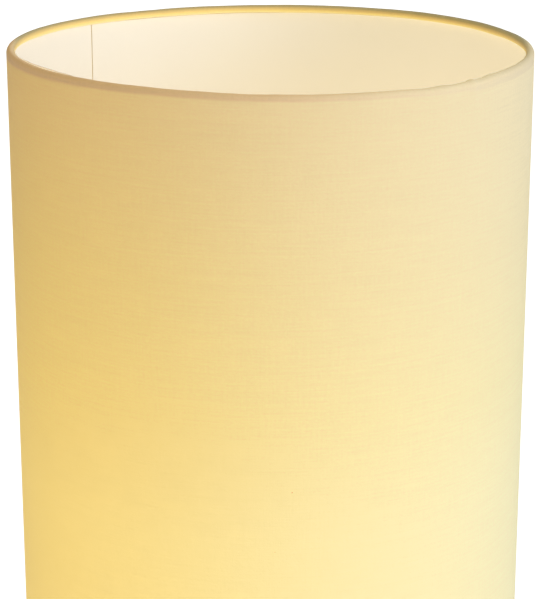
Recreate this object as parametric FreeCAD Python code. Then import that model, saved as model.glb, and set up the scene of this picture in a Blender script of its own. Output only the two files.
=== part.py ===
import FreeCAD, Part
import math
import os

from FreeCAD import Vector

# Column floor lamp: a tall tube of cloth on two wire hoops, which stands on a weighted base round
# a stem, a lampholder and a bulb. Millimetres, +Z up, origin on the floor under the middle of the
# base. The front is -Y and the cord comes in at +Y. Heights whose names start with z are above the
# floor, and those of the lampholder and bulb are built up from z_holder.

# ---- Shade: cloth glued to a plastic lining, its edges rolled round two wire hoops
shade_radius = 125.0
shade_height = 1182.0
cloth_thickness = 0.5
lining_thickness = 0.4
glue_line = 0.05
hoop_wire_radius = 1.5
hoop_clearance = 0.05
tuck_margin_deg = 4.0          # keeps the tucked edge of the cloth off the wall
lining_edge_clearance = 0.3    # from the rolled hem to the edge of the lining
seam_angle_deg = 138.0         # from +X about +Z
seam_lap_width = 12.0
lining_seam_gap = 0.6

# ---- Base: pressed cover, cast weight and closing plate on rubber feet
flange_reach = 10.0            # from the shade's side to the edge of the base
base_edge_rounding = 4.0
spigot_height = 18.0           # the raised middle that the shade drops over
spigot_rounding = 3.0
cover_thickness = 1.5
cover_floor_gap = 2.0
shade_side_clearance = 1.5
shade_seat_clearance = 0.3
plate_thickness = 1.5
plate_edge_clearance = 0.5
weight_thickness = 12.0
weight_side_clearance = 2.0
weight_rounding = 2.0
pillar_count = 3
pillar_radius = 7.0
pillar_inset = 35.9            # from the edge of the weight to the pillars' middles
pillar_first_deg = 30.0
foot_count = 4
foot_radius = 9.0
foot_height = 3.0
foot_inset = 29.0              # from the edge of the plate to the feet's middles
foot_first_deg = 45.0
foot_rounding = 0.6
screw_radius = 2.0
screw_length = 12.0
screw_head_radius = 3.7
screw_head_height = 1.9
screw_slot_width = 0.8
screw_slot_depth = 0.9
hole_clearance = 0.15          # round every screw

# ---- Cord inlet: a bush in a slot of the cover's skirt
inlet_bore_radius = 3.2
inlet_wall = 1.1
inlet_lip = 1.2
inlet_lip_thickness = 1.5
inlet_height = 8.6
inlet_headroom = 3.9           # from the bush's lip to the top of the flange
inlet_length = 9.0
inlet_slot_clearance = 0.1

# ---- Stem: two tubes joined by hollow threaded nipples
tube_radius = 8.0
tube_wall = 1.5
tube_length = 280.0
insert_length = 14.0
insert_press_gap = 0.02
nipple_radius = 5.0
nipple_bore_radius = 3.5
nipple_end_gap = 1.0
thread_clearance = 0.05
collar_radius = 18.0
collar_height = 6.0
collar_rounding = 2.0
washer_radius = 12.0
washer_thickness = 1.5
nut_across_flats = 17.0
nut_height = 6.0
nipple_below_nut = 2.0

# ---- Wiring: two insulated wires from the terminal block to the lampholder
wire_radius = 1.1
wire_offset = 1.6              # of each wire from the stem's middle
wire_floor_gap = 1.2           # from the closing plate to the wires
wire_into_barrel = 6.0
wire_out_of_block = 6.0
wire_foot_y = 17.0             # where the wires reach the floor of the base
wire_end_run = 4.0             # straight, into the lampholder and into its terminal
bend_share = 0.45              # of the shorter run that a bend may take up
block_width = 21.0
block_length = 22.0
block_height = 13.0
block_rounding = 1.2
block_y = 40.0                 # its near side, from the middle
barrel_pitch = 9.2
barrel_radius = 2.5
barrel_bore_radius = 1.6
barrel_clearance = 0.05
barrel_end_gap = 1.0
barrel_screw_radius = 1.4
barrel_screw_pitch = 11.0
barrel_screw_length = 4.0

# ---- Lampholder for a 27 mm screw bulb
holder_lip_width = 5.4         # of the lip over the bulb's cap
holder_wall = 2.0
holder_neck_radius = 9.0
holder_neck_height = 7.0
holder_shoulder_rounding = 9.0
core_ledge_height = 30.0
core_ledge_width = 1.5
core_thickness = 10.0
core_clearance = 0.15
skirt_lap = 4.0
skirt_height = 30.0
skirt_shoulder = 1.0
skirt_lip_clearance = 0.6      # from the sleeve's outside to the lip
skirt_lip_thickness = 1.5
skirt_rounding = 1.2
sleeve_clearance = 0.35        # round the bulb's cap
sleeve_wall = 0.5
sleeve_height = 18.0
terminal_width = 6.0
terminal_height = 8.0
terminal_offset = 9.0
terminal_rounding = 0.8
post_radius = 1.0
contact_width = 5.0
contact_thickness = 0.5
contact_rise = 3.0
contact_flat = 6.0
contact_foot = 5.0

# ---- Bulb: screw cap, plastic housing and hollow opal globe
bulb_contact_clearance = 0.3
bulb_tip_radius = 4.5
bulb_tip_height = 1.0
bulb_tip_rounding = 0.6
bulb_insulator_height = 5.0
bulb_cap_radius = 13.15
bulb_cap_height = 20.0
bulb_cap_wall = 0.5
bulb_cap_taper = 2.0           # height of the part that is drawn in
bulb_cap_draw_in = 1.55
bulb_plug_clearance = 0.05
bulb_plug_length = 12.0
housing_height = 33.0
housing_wall = 1.5
housing_rim_radius = 24.0
housing_bow = 1.5              # of its sides, inwards from a straight cone
housing_bow_share = 0.55       # of its height, where the sides bow most
globe_radius = 30.0
globe_wall = 1.2
board_thickness = 1.6
board_recess = 2.0
board_ledge_width = 2.0
board_clearance = 0.2
driver_width = 14.0
driver_length = 24.0
driver_thickness = 1.6
capacitor_radius = 3.5
capacitor_length = 10.0
capacitor_drop = 8.0           # from the board with the lights to the capacitor's middle

# ---- Worked out from the values above
flange_height = inlet_height + inlet_bore_radius + inlet_wall + inlet_lip + inlet_headroom
sleeve_inner_radius = bulb_cap_radius + sleeve_clearance
skirt_lip_radius = sleeve_inner_radius + sleeve_wall + skirt_lip_clearance
holder_radius = skirt_lip_radius + holder_lip_width
bulb_insulator_radius = bulb_cap_radius - bulb_cap_draw_in

hem_inner = hoop_wire_radius + hoop_clearance
hem_outer = hem_inner + cloth_thickness
hoop_radius = shade_radius - hem_outer
lining_outer = shade_radius - cloth_thickness - glue_line
lining_inner = lining_outer - lining_thickness
z_shade_bottom = flange_height + shade_seat_clearance
z_shade_top = z_shade_bottom + shade_height
z_lower_hoop = z_shade_bottom + hem_outer
z_upper_hoop = z_shade_top - hem_outer

base_radius = shade_radius + flange_reach
spigot_radius = hoop_radius - hem_outer - shade_side_clearance
z_cover_top = flange_height + spigot_height
z_plate = foot_height
z_plate_top = z_plate + plate_thickness
plate_radius = base_radius - cover_thickness - plate_edge_clearance
foot_circle_radius = plate_radius - foot_inset
z_weight_top = z_cover_top - cover_thickness
z_weight = z_weight_top - weight_thickness
weight_radius = spigot_radius - cover_thickness - weight_side_clearance
pillar_circle_radius = weight_radius - pillar_inset
z_washer = z_weight - washer_thickness
z_nut = z_washer - nut_height
nipple_hole_radius = nipple_radius + hole_clearance
thread_hole_radius = nipple_radius + thread_clearance

z_stem = z_cover_top + collar_height
z_stem_joint = z_stem + tube_length
z_holder = z_stem_joint + tube_length
tube_bore_radius = tube_radius - tube_wall

z_core = z_holder + core_ledge_height
z_core_top = z_core + core_thickness
z_cap_top = z_core + skirt_lap
core_radius = holder_radius - holder_wall - core_clearance
z_skirt_top = z_core + skirt_height
z_contact_top = z_core_top + contact_rise + contact_thickness

z_bulb = z_contact_top + bulb_contact_clearance
z_bulb_insulator = z_bulb + bulb_tip_height
z_bulb_cap = z_bulb_insulator + bulb_insulator_height
z_bulb_cap_top = z_bulb_cap + bulb_cap_height
z_housing_rim = z_bulb_cap_top + housing_height
z_globe_middle = z_housing_rim + math.sqrt(globe_radius**2 - housing_rim_radius**2)
z_board = z_housing_rim - board_recess
board_radius = housing_rim_radius - housing_wall - board_clearance

z_barrel = z_plate_top + block_height / 2
z_wire = z_plate_top + wire_floor_gap + wire_radius

UP = Vector(0, 0, 1)
BACK = Vector(0, 1, 0)
FLOOR = Vector(0, 0, 0)


# ---- Helpers
def face_of(*corners):
    """A flat face in the XZ plane with straight sides between these (radius, height) corners."""
    ends = [Vector(r, 0, z) for r, z in corners]
    return Part.Face(Part.makePolygon(ends + ends[:1]))


def turned(*corners):
    """The solid that this outline sweeps about the Z axis."""
    return face_of(*corners).revolve(FLOOR, UP, 360)


def ring(inner, outer, bottom, top):
    """A plain upright tube, or a disc where inner is 0."""
    return turned((inner, bottom), (outer, bottom), (outer, top), (inner, top))


def rounded(shape, radius, *places):
    """Rounds the circular edges that lie at these (radius, height) places."""
    edges = [
        e
        for e in shape.Edges
        if e.Curve.TypeId == "Part::GeomCircle"
        and any(
            abs(e.Curve.Radius - r) < 1e-6 and abs(e.Curve.Center.z - z) < 1e-6
            for r, z in places
        )
    ]
    return shape.makeFillet(radius, edges)


def round_the_middle(count, radius, first_deg=0.0):
    """Evenly spaced (x, y) places on a circle."""
    angles = [math.radians(first_deg + 360.0 * i / count) for i in range(count)]
    return [(radius * math.cos(a), radius * math.sin(a)) for a in angles]


def box_between(low, high):
    """A block from its lowest corner to its highest."""
    size = Vector(*high) - Vector(*low)
    return Part.makeBox(size.x, size.y, size.z, Vector(*low))


def one_solid(shape):
    """The single solid that a cut or fuse leaves."""
    return shape.removeSplitter().Solids[0]


# ---- Shade
def hem_point(z_hoop, radius, angle):
    """A point on the rolled hem, at this angle (radians) about the hoop's wire."""
    return Vector(hoop_radius + radius * math.cos(angle), 0, z_hoop + radius * math.sin(angle))


def hem_arc(z_hoop, radius, start, end):
    middle = (start + end) / 2
    ends = (hem_point(z_hoop, radius, a) for a in (start, middle, end))
    return Part.Arc(*ends).toShape()


def shade_cloth():
    """One sheet: the wall, and the hems rolled over the hoops and tucked behind them."""
    tucked = 2 * math.pi - math.acos(hem_inner / hem_outer) - math.radians(tuck_margin_deg)
    wall_out = Part.makeLine(
        hem_point(z_lower_hoop, hem_outer, 0), hem_point(z_upper_hoop, hem_outer, 0)
    )
    wall_in = Part.makeLine(
        hem_point(z_upper_hoop, hem_inner, 0), hem_point(z_lower_hoop, hem_inner, 0)
    )
    edges = [wall_out]
    for z_hoop, turn in ((z_upper_hoop, tucked), (z_lower_hoop, -tucked)):
        edge_end = Part.makeLine(
            hem_point(z_hoop, hem_outer, turn), hem_point(z_hoop, hem_inner, turn)
        )
        edges += [hem_arc(z_hoop, hem_outer, 0, turn), edge_end]
        edges += [hem_arc(z_hoop, hem_inner, turn, 0)]
    edges.append(wall_in)
    outline = Part.Wire(Part.__sortEdges__(edges))
    return Part.Face(outline).revolve(FLOOR, UP, 360)


def wall_sector(inner, outer, bottom, top, start_deg, sweep_deg):
    """Part of an upright tube, from start_deg about +Z."""
    piece = face_of((inner, bottom), (outer, bottom), (outer, top), (inner, top))
    piece.rotate(FLOOR, UP, start_deg)
    return piece.revolve(FLOOR, UP, sweep_deg)


def shade_lining():
    """The plastic sheet behind the cloth, rolled until its ends nearly meet at the seam."""
    gap_deg = math.degrees(lining_seam_gap / lining_inner)
    edge = hem_outer + lining_edge_clearance
    return wall_sector(
        lining_inner,
        lining_outer,
        z_lower_hoop + edge,
        z_upper_hoop - edge,
        seam_angle_deg + gap_deg / 2,
        360 - gap_deg,
    )


def seam_lap():
    """The end of the cloth that is glued over its other end, on the outside."""
    lap_deg = math.degrees(seam_lap_width / shade_radius)
    return wall_sector(
        shade_radius + glue_line,
        shade_radius + glue_line + cloth_thickness,
        z_lower_hoop,
        z_upper_hoop,
        seam_angle_deg - lap_deg / 2,
        lap_deg,
    )


def hoop(z_hoop):
    return Part.makeTorus(hoop_radius, hoop_wire_radius, Vector(0, 0, z_hoop))


# ---- Base
def base_cover():
    """Pressed sheet steel: a flange for the shade and a raised middle that centres it."""
    block = turned(
        (0, cover_floor_gap),
        (base_radius, cover_floor_gap),
        (base_radius, flange_height),
        (spigot_radius, flange_height),
        (spigot_radius, z_cover_top),
        (0, z_cover_top),
    )
    block = rounded(block, base_edge_rounding, (base_radius, flange_height))
    block = rounded(block, spigot_rounding, (spigot_radius, z_cover_top))
    underside = [f for f in block.Faces if abs(f.CenterOfMass.z - cover_floor_gap) < 1e-6]
    shell = block.makeThickness(underside, -cover_thickness, 1e-3)
    shell = shell.cut(ring(0, nipple_hole_radius, z_weight_top, z_cover_top))
    return one_solid(shell.cut(inlet_slot()))


def inlet_slot():
    """The slot in the back of the skirt, open at the bottom, that the cord bush sits in."""
    half = inlet_bore_radius + inlet_wall + inlet_slot_clearance
    near, far = base_radius - inlet_length, base_radius + inlet_length
    top = Part.makeCylinder(half, far - near, Vector(0, near, inlet_height), BACK)
    return top.fuse(box_between((-half, near, 0), (half, far, inlet_height)))


def cord_inlet_bush():
    """A bored bush, lipped outside and inside the skirt. Its lower half fills the slot."""
    body_radius = inlet_bore_radius + inlet_wall
    lip_radius = body_radius + inlet_lip
    wall_in, wall_out = base_radius - cover_thickness, base_radius
    flat_in = math.sqrt(wall_in**2 - lip_radius**2) - inlet_slot_clearance
    low = z_plate_top + inlet_slot_clearance
    start = wall_out + inlet_slot_clearance + inlet_lip_thickness - inlet_length
    middle = Vector(0, start, inlet_height)
    bush = Part.makeCylinder(body_radius, inlet_length, middle, BACK)
    bush = bush.fuse(box_between((-body_radius, flat_in - inlet_lip_thickness, low),
                                 (body_radius, wall_out, inlet_height)))
    for near in (wall_out + inlet_slot_clearance, flat_in - inlet_lip_thickness):
        foot = Vector(0, near, inlet_height)
        bush = bush.fuse(Part.makeCylinder(lip_radius, inlet_lip_thickness, foot, BACK))
    bush = bush.cut(box_between((-lip_radius, start, 0), (lip_radius, wall_in, low)))
    bore = Part.makeCylinder(inlet_bore_radius, inlet_length, middle, BACK)
    return one_solid(bush.cut(bore))


def screw_places():
    return round_the_middle(pillar_count, pillar_circle_radius, pillar_first_deg)


def base_weight():
    """A cast disc under the cover's top, on pillars that take the closing plate's screws."""
    disc = ring(0, weight_radius, z_weight, z_weight_top)
    edges = ((weight_radius, z_weight), (weight_radius, z_weight_top))
    casting = rounded(disc, weight_rounding, *edges)
    for x, y in screw_places():
        foot = Vector(x, y, z_plate_top)
        casting = casting.fuse(Part.makeCylinder(pillar_radius, z_weight - z_plate_top, foot))
        bolt_hole = Part.makeCylinder(screw_radius + hole_clearance, screw_length, foot)
        casting = casting.cut(bolt_hole)
    return one_solid(casting.cut(ring(0, nipple_hole_radius, z_weight, z_weight_top)))


def base_plate():
    """The flat plate that closes the base."""
    plate = ring(0, plate_radius, z_plate, z_plate_top)
    for x, y in screw_places():
        hole = Part.makeCylinder(
            screw_radius + hole_clearance, plate_thickness, Vector(x, y, z_plate)
        )
        plate = plate.cut(hole)
    return one_solid(plate)


def plate_screws():
    """Slotted pan-head screws, driven up through the plate into the pillars."""
    slot = box_between(
        (-screw_head_radius, -screw_slot_width / 2, -screw_head_height),
        (screw_head_radius, screw_slot_width / 2, screw_slot_depth - screw_head_height),
    )
    reach = screw_length + plate_thickness - hole_clearance
    head = ring(0, screw_head_radius, -screw_head_height, 0)
    head = rounded(head, screw_slot_depth, (screw_head_radius, -screw_head_height))
    screw = one_solid(head.fuse(ring(0, screw_radius, 0, reach)).cut(slot))
    places = [Vector(x, y, z_plate) for x, y in screw_places()]
    return Part.makeCompound([screw.translated(p) for p in places])


def rubber_feet():
    foot = ring(0, foot_radius, 0, foot_height)
    foot = rounded(foot, foot_rounding, (foot_radius, 0))
    places = round_the_middle(foot_count, foot_circle_radius, foot_first_deg)
    return Part.makeCompound([foot.translated(Vector(x, y, 0)) for x, y in places])


# ---- Stem
def nipple(bottom, top):
    """A length of hollow threaded rod."""
    return ring(nipple_bore_radius, nipple_radius, bottom, top)


def base_nipple():
    return nipple(z_nut - nipple_below_nut, z_stem + insert_length - nipple_end_gap)


def stem_joiner():
    reach = insert_length - nipple_end_gap
    return nipple(z_stem_joint - reach, z_stem_joint + reach)


def holder_nipple():
    return nipple(z_holder - insert_length + nipple_end_gap, z_holder + holder_neck_height)


def base_washer():
    return ring(nipple_hole_radius, washer_radius, z_washer, z_weight)


def base_nut():
    """A hexagon nut with its corners turned down."""
    corner = nut_across_flats / math.sqrt(3)
    corners = [Vector(x, y, z_nut) for x, y in round_the_middle(6, corner)]
    prism = Part.Face(Part.makePolygon(corners + corners[:1])).extrude(UP * nut_height)
    chamfer = corner - nut_across_flats / 2
    z_top = z_nut + nut_height
    blank = turned(
        (0, z_nut),
        (corner - chamfer, z_nut),
        (corner, z_nut + chamfer / 2),
        (corner, z_top - chamfer / 2),
        (corner - chamfer, z_top),
        (0, z_top),
    )
    return one_solid(prism.common(blank).cut(ring(0, thread_hole_radius, z_nut, z_top)))


def stem_collar():
    collar = ring(thread_hole_radius, collar_radius, z_cover_top, z_stem)
    return rounded(collar, collar_rounding, (collar_radius, z_stem))


def stem_tube(bottom):
    return ring(tube_bore_radius, tube_radius, bottom, bottom + tube_length)


def stem_inserts():
    """Threaded plugs pressed into both ends of both tubes."""
    outer = tube_bore_radius - insert_press_gap
    bottoms = []
    for z_tube in (z_stem, z_stem_joint):
        bottoms += [z_tube, z_tube + tube_length - insert_length]
    plugs = [ring(thread_hole_radius, outer, z, z + insert_length) for z in bottoms]
    return Part.makeCompound(plugs)


# ---- Wiring
def barrel_places():
    return (-barrel_pitch / 2, barrel_pitch / 2)


def barrel_screw_places():
    middle = block_y + block_length / 2
    ends = (middle - barrel_screw_pitch / 2, middle + barrel_screw_pitch / 2)
    return [Vector(x, y, z_barrel + barrel_bore_radius) for x in barrel_places() for y in ends]


def terminal_block():
    """A moulded block with two bores along it and a screw well over each end of each bore."""
    block = box_between(
        (-block_width / 2, block_y, z_plate_top),
        (block_width / 2, block_y + block_length, z_plate_top + block_height),
    )
    upright = [e for e in block.Edges if abs(e.tangentAt(e.FirstParameter).z) > 0.5]
    block = block.makeFillet(block_rounding, upright)
    for x in barrel_places():
        bore = Part.makeCylinder(
            barrel_radius + barrel_clearance, block_length, Vector(x, block_y, z_barrel), BACK
        )
        block = block.cut(bore)
    for place in barrel_screw_places():
        well = Part.makeCylinder(barrel_screw_radius + hole_clearance, block_height, place)
        block = block.cut(well)
    return one_solid(block)


def terminal_barrels():
    """A brass tube in each bore of the block."""
    start = block_y + barrel_end_gap
    length = block_length - 2 * barrel_end_gap
    barrels = []
    for x in barrel_places():
        end = Vector(x, start, z_barrel)
        barrel = Part.makeCylinder(barrel_radius, length, end, BACK)
        barrel = barrel.cut(Part.makeCylinder(barrel_bore_radius, length, end, BACK))
        for place in barrel_screw_places():
            if abs(place.x - x) < 1e-6:
                radius = barrel_screw_radius + barrel_clearance
                barrel = barrel.cut(Part.makeCylinder(radius, barrel_screw_length, place))
        barrels.append(one_solid(barrel))
    return Part.makeCompound(barrels)


def terminal_screws():
    screws = []
    for place in barrel_screw_places():
        screw = Part.makeCylinder(barrel_screw_radius, barrel_screw_length, place)
        top = place + UP * (barrel_screw_length - screw_slot_depth)
        half = barrel_screw_radius
        slot = Part.makeBox(2 * half, screw_slot_width, screw_slot_depth,
                            top - Vector(half, screw_slot_width / 2, 0))
        screws.append(one_solid(screw.cut(slot)))
    return Part.makeCompound(screws)


def wire_route(side):
    """The points that the wire on this side turns at, from the terminal block to the lampholder."""
    return [
        Vector(side * barrel_pitch / 2, block_y + barrel_end_gap + wire_into_barrel, z_barrel),
        Vector(side * barrel_pitch / 2, block_y - wire_out_of_block, z_barrel),
        Vector(side * wire_offset, wire_foot_y, z_wire),
        Vector(side * wire_offset, 0, z_wire),
        Vector(side * wire_offset, 0, z_holder + holder_neck_height + wire_end_run),
        Vector(side * terminal_offset, 0, z_core - terminal_height - wire_end_run),
        Vector(side * terminal_offset, 0, z_core - terminal_height),
    ]


def bent_wire(route):
    """A round wire along straight runs joined by tangent arcs. Prints the radius of each bend."""
    edges, start, bends = [], route[0], []
    for before, corner, after in zip(route, route[1:], route[2:]):
        run_in, run_out = corner - before, after - corner
        half_turn = run_in.getAngle(run_out) / 2
        setback = bend_share * min(run_in.Length, run_out.Length)
        bends.append(setback / math.tan(half_turn))
        into, out = Vector(run_in).normalize(), Vector(run_out).normalize()
        bend_start, bend_end = corner - into * setback, corner + out * setback
        inward = Vector(out - into).normalize()
        middle = corner + inward * bends[-1] * (1 / math.cos(half_turn) - 1)
        edges.append(Part.makeLine(start, bend_start))
        edges.append(Part.Arc(bend_start, middle, bend_end).toShape())
        start = bend_end
    edges.append(Part.makeLine(start, route[-1]))
    path = Part.Wire(edges)
    section = Part.Wire(Part.makeCircle(wire_radius, route[0], route[1] - route[0]))
    tube = path.makePipeShell([section], True, False)
    expected = math.pi * wire_radius**2 * path.Length
    print("wire bends", [round(b, 1) for b in bends], "volume share", tube.Volume / expected)
    return tube


# ---- Lampholder
def holder_cap():
    """The lower half of the lampholder, threaded on the nipple."""
    z_neck = z_holder + holder_neck_height
    z_floor = z_neck + holder_wall
    cavity = core_radius + core_clearance - core_ledge_width
    lap_radius = holder_radius - holder_wall / 2
    outside = turned(
        (0, z_holder),
        (holder_neck_radius, z_holder),
        (holder_neck_radius, z_neck),
        (holder_radius, z_neck),
        (holder_radius, z_core),
        (lap_radius, z_core),
        (lap_radius, z_cap_top),
        (0, z_cap_top),
    )
    outside = rounded(outside, holder_shoulder_rounding, (holder_radius, z_neck))
    inside = ring(0, cavity, z_floor, z_core)
    inside_rounding = holder_shoulder_rounding - holder_wall
    inside = rounded(inside, inside_rounding, (cavity, z_floor))
    cap = outside.cut(inside)
    cap = cap.cut(ring(0, core_radius + core_clearance, z_core, z_cap_top))
    return one_solid(cap.cut(ring(0, thread_hole_radius, z_holder, z_floor)))


def holder_core():
    """The ceramic disc that carries the contacts, with a hole for each terminal's post."""
    core = ring(0, core_radius, z_core, z_core_top)
    for side in (-1, 1):
        foot = Vector(side * terminal_offset, 0, z_core)
        hole = Part.makeCylinder(post_radius + hole_clearance, core_thickness, foot)
        core = core.cut(hole)
    return one_solid(core)


def holder_skirt():
    """The outer shell, lapped over the cap. Its inner shoulder holds the core down."""
    z_shoulder = z_core_top + core_clearance
    z_lip = z_skirt_top - skirt_lip_thickness
    lap_radius = holder_radius - holder_wall / 2 + thread_clearance
    skirt = turned(
        (lap_radius, z_core),
        (holder_radius, z_core),
        (holder_radius, z_skirt_top),
        (skirt_lip_radius, z_skirt_top),
        (skirt_lip_radius, z_lip),
        (holder_radius - holder_wall - skirt_shoulder, z_lip),
        (holder_radius - holder_wall - skirt_shoulder, z_shoulder),
        (holder_radius - holder_wall, z_shoulder),
        (holder_radius - holder_wall, z_cap_top + thread_clearance),
        (lap_radius, z_cap_top + thread_clearance),
    )
    return rounded(skirt, skirt_rounding, (holder_radius, z_skirt_top))


def holder_sleeve():
    """The brass sleeve that the bulb screws into, with a tab to its terminal's post."""
    outer = sleeve_inner_radius + sleeve_wall
    sleeve = ring(sleeve_inner_radius, outer, z_core_top, z_core_top + sleeve_height)
    tab = box_between(
        (terminal_offset - contact_width / 2, -contact_width / 2, z_core_top),
        (sleeve_inner_radius + sleeve_wall / 2, contact_width / 2, z_core_top + contact_thickness),
    )
    return one_solid(sleeve.fuse(tab))


def holder_terminals():
    """Two brass clamps under the core, each with a post up through it."""
    half = terminal_width / 2
    clamps = []
    for side in (-1, 1):
        x = side * terminal_offset
        low = (x - half, -half, z_core - terminal_height)
        clamp = box_between(low, (x + half, half, z_core))
        upright = [e for e in clamp.Edges if abs(e.tangentAt(e.FirstParameter).z) > 0.5]
        clamp = clamp.makeFillet(terminal_rounding, upright)
        post = Part.makeCylinder(post_radius, core_thickness, Vector(x, 0, z_core))
        clamps.append(one_solid(clamp.fuse(post)))
    return Part.makeCompound(clamps)


def holder_contact():
    """A brass leaf that rises from its post's top to the middle, under the bulb's tip."""
    tip = contact_flat / 2
    foot_end = -terminal_offset + contact_foot / 2
    line = [
        (-terminal_offset - contact_foot / 2, z_core_top),
        (foot_end, z_core_top),
        (-tip, z_core_top + contact_rise),
        (tip, z_core_top + contact_rise),
    ]
    above = [(x, z + contact_thickness) for x, z in reversed(line)]
    leaf = face_of(*line, *above)
    leaf.translate(Vector(0, -contact_width / 2, 0))
    return leaf.extrude(BACK * contact_width)


# ---- Bulb
def bulb_tip():
    tip = ring(0, bulb_tip_radius, z_bulb, z_bulb_insulator)
    return rounded(tip, bulb_tip_rounding, (bulb_tip_radius, z_bulb))


def bulb_insulator():
    return turned(
        (0, z_bulb_insulator),
        (bulb_tip_radius, z_bulb_insulator),
        (bulb_insulator_radius, z_bulb_cap),
        (0, z_bulb_cap),
    )


def bulb_cap():
    """The threaded metal cap, drawn in at the bottom to meet the insulator."""
    z_shoulder = z_bulb_cap + bulb_cap_taper
    wall = bulb_cap_wall
    return turned(
        (bulb_insulator_radius - wall, z_bulb_cap),
        (bulb_insulator_radius, z_bulb_cap),
        (bulb_cap_radius, z_shoulder),
        (bulb_cap_radius, z_bulb_cap_top),
        (bulb_cap_radius - wall, z_bulb_cap_top),
        (bulb_cap_radius - wall, z_shoulder),
    )


def bulb_housing():
    """The white plastic body: a plug in the cap, flaring up to the globe's rim."""
    plug = bulb_cap_radius - bulb_cap_wall - bulb_plug_clearance
    z_plug = z_bulb_cap_top - bulb_plug_length
    neck = bulb_cap_radius
    rim = housing_rim_radius
    board_seat = rim - housing_wall - board_ledge_width
    bow_radius = (neck + rim) / 2 - housing_bow
    bow_height = z_bulb_cap_top + housing_height * housing_bow_share
    outside = Part.Arc(
        Vector(neck, 0, z_bulb_cap_top),
        Vector(bow_radius, 0, bow_height),
        Vector(rim, 0, z_housing_rim),
    ).toShape()
    inside = Part.Arc(
        Vector(neck - 2 * housing_wall, 0, z_bulb_cap_top),
        Vector(bow_radius - 2 * housing_wall, 0, bow_height),
        Vector(board_seat, 0, z_board),
    ).toShape()
    corners = [
        (board_seat, z_board),
        (rim - housing_wall, z_board),
        (rim - housing_wall, z_housing_rim),
        (rim, z_housing_rim),
    ]
    below = [
        (neck, z_bulb_cap_top),
        (plug, z_bulb_cap_top),
        (plug, z_plug),
        (plug - housing_wall, z_plug),
        (plug - housing_wall, z_bulb_cap_top),
        (neck - 2 * housing_wall, z_bulb_cap_top),
    ]
    lines = [Part.makeLine(Vector(a[0], 0, a[1]), Vector(b[0], 0, b[1]))
             for chain in (corners, below) for a, b in zip(chain, chain[1:]) if a != b]
    outline = Part.Wire(Part.__sortEdges__(lines + [outside, inside]))
    return Part.Face(outline).revolve(FLOOR, UP, 360)


def bulb_globe():
    """The opal globe: a hollow ball, open where it stands on the housing."""
    middle = Vector(0, 0, z_globe_middle)
    ball = Part.makeSphere(globe_radius, middle)
    ball = ball.cut(Part.makeSphere(globe_radius - globe_wall, middle))
    return one_solid(ball.cut(ring(0, globe_radius, z_board, z_housing_rim)
                              .fuse(ring(0, globe_radius, z_bulb_cap_top, z_board))))


def led_board():
    return ring(0, board_radius, z_board, z_board + board_thickness)


def led_driver():
    """The little circuit board on edge under the lights, with its capacitor lying out from it."""
    half = driver_width / 2
    board = box_between(
        (-half, -driver_thickness, z_board - driver_length),
        (half, 0, z_board),
    )
    foot = Vector(0, 0, z_board - capacitor_drop)
    return one_solid(board.fuse(Part.makeCylinder(capacitor_radius, capacitor_length, foot, BACK)))


# ---- Every sub-part under its name
SUB_PARTS = {
    "shade_cloth": shade_cloth,
    "shade_lining": shade_lining,
    "seam_lap": seam_lap,
    "upper_hoop": lambda: hoop(z_upper_hoop),
    "lower_hoop": lambda: hoop(z_lower_hoop),
    "base_cover": base_cover,
    "base_weight": base_weight,
    "base_plate": base_plate,
    "plate_screws": plate_screws,
    "rubber_feet": rubber_feet,
    "cord_inlet_bush": cord_inlet_bush,
    "base_nipple": base_nipple,
    "base_washer": base_washer,
    "base_nut": base_nut,
    "stem_collar": stem_collar,
    "lower_tube": lambda: stem_tube(z_stem),
    "upper_tube": lambda: stem_tube(z_stem_joint),
    "stem_inserts": stem_inserts,
    "stem_joiner": stem_joiner,
    "holder_nipple": holder_nipple,
    "terminal_block": terminal_block,
    "terminal_barrels": terminal_barrels,
    "terminal_screws": terminal_screws,
    "live_wire": lambda: bent_wire(wire_route(-1)),
    "neutral_wire": lambda: bent_wire(wire_route(1)),
    "holder_cap": holder_cap,
    "holder_core": holder_core,
    "holder_skirt": holder_skirt,
    "holder_sleeve": holder_sleeve,
    "holder_terminals": holder_terminals,
    "holder_contact": holder_contact,
    "bulb_tip": bulb_tip,
    "bulb_insulator": bulb_insulator,
    "bulb_cap": bulb_cap,
    "bulb_housing": bulb_housing,
    "bulb_globe": bulb_globe,
    "led_board": led_board,
    "led_driver": led_driver,
}

os.makedirs("parts", exist_ok=True)
for name, make in SUB_PARTS.items():
    shape = make()
    solids = shape.Solids
    sound = all(s.isValid() and s.Volume > 0 for s in solids)
    print(name, len(solids), "solids", round(shape.Volume), "mm3", "sound" if sound else "UNSOUND")
    shape.exportStep("parts/" + name + ".step")
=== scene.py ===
import math

import bpy
from bpy.props import FloatProperty, FloatVectorProperty, PointerProperty
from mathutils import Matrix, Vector, noise


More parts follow.
